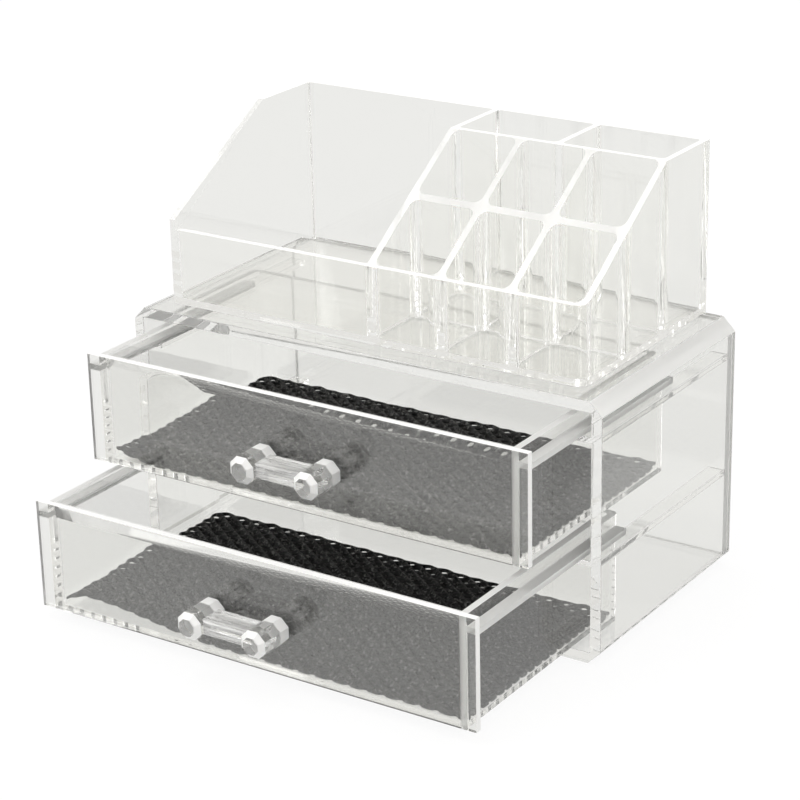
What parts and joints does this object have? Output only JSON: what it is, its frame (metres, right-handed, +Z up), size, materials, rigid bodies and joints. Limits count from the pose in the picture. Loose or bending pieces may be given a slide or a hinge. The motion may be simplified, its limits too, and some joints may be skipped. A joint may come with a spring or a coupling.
{
  "type": "cosmetic organizer",
  "caption": "Clear plastic vanity organizer: a chamfered cabinet with sliding drawers on rails, faceted handles, foam drawer mats and a lift-off tray of sloping compartments.",
  "frame": {"origin": "centre of the cabinet's underside", "axes": "+Z up, -Y towards the drawer fronts, +X to the right of a person facing the drawers"},
  "size_m": [0.238, 0.2195, 0.1944],
  "materials": {
    "cabinet_clear": "polished clear",
    "tray_clear": "polished clear",
    "drawer_clear": "polished clear",
    "handle_clear": "polished clear",
    "mat_foam": "matt open foam"
  },
  "bodies": {
    "cabinet": {"cabinet_sleeve": "cabinet_clear", "cabinet_back_panel": "cabinet_clear"},
    "tray": {"compartment_tray": "tray_clear"},
    "lower_drawer": {"lower_drawer_box": "drawer_clear", "lower_drawer_front": "drawer_clear", "lower_drawer_handle": "handle_clear", "lower_drawer_mat": "mat_foam"},
    "upper_drawer": {"upper_drawer_box": "drawer_clear", "upper_drawer_front": "drawer_clear", "upper_drawer_handle": "handle_clear", "upper_drawer_mat": "mat_foam"}
  },
  "joints": [
    {"name": "lower_drawer_slide", "type": "slide", "parent": "cabinet", "child": "lower_drawer", "axis": [0, -1, 0], "range_m": [-0.079, 0.011]},
    {"name": "upper_drawer_slide", "type": "slide", "parent": "cabinet", "child": "upper_drawer", "axis": [0, -1, 0], "range_m": [-0.0396, 0.0504]},
    {"name": "tray_lift", "type": "slide", "parent": "cabinet", "child": "tray", "axis": [0, 0, 1], "range_m": [0, 0.06]}
  ]
}
